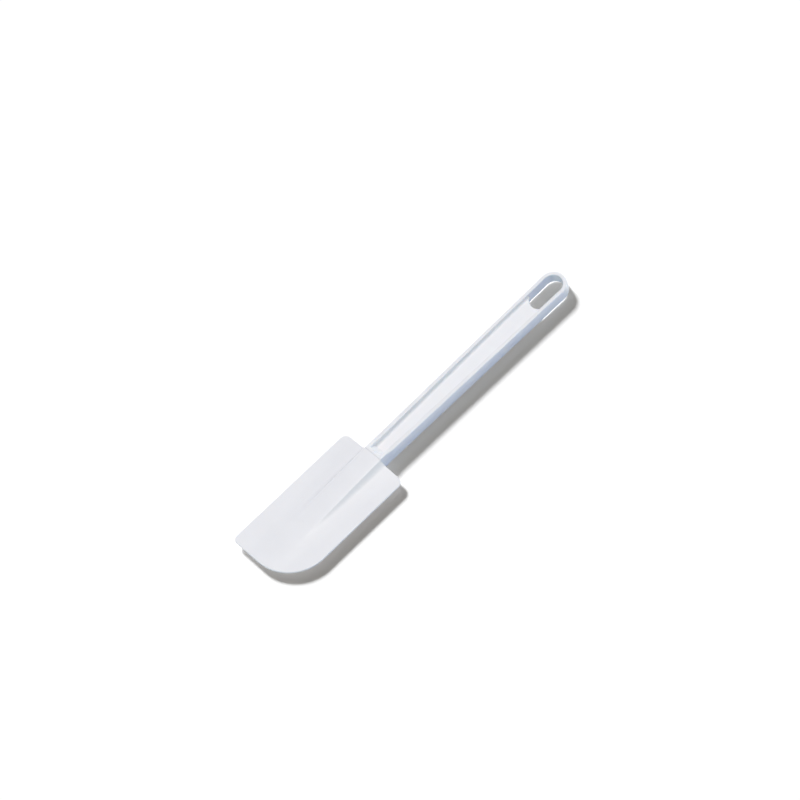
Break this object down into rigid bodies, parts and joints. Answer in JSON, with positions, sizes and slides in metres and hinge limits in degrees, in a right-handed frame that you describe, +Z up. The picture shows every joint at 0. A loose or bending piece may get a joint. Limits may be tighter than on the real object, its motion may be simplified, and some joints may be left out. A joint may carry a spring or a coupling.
{
  "type": "rubber spatula",
  "caption": "Flat flexible scraper blade with a raised socket boss down its middle, on an I-section handle that ends in an open hanging loop.",
  "frame": {"origin": "under the middle of the whole spatula, on the surface that it lies on", "axes": "+X from the blade's tip to the hanging loop, +Z up out of the blade's upper face, +Y towards the blade's square long edge"},
  "size_m": [0.241, 0.0499, 0.0102],
  "materials": {
    "handle_plastic": "moulded white polypropylene with a soft gloss",
    "blade_rubber": "moulded white rubber, matt"
  },
  "bodies": {
    "handle": {"handle": "handle_plastic"},
    "blade": {"blade": "blade_rubber"}
  },
  "joints": [
    {"name": "blade_pull_off", "type": "slide", "parent": "handle", "child": "blade", "axis": [-1, 0, 0], "range_m": [0, 0.048]}
  ]
}
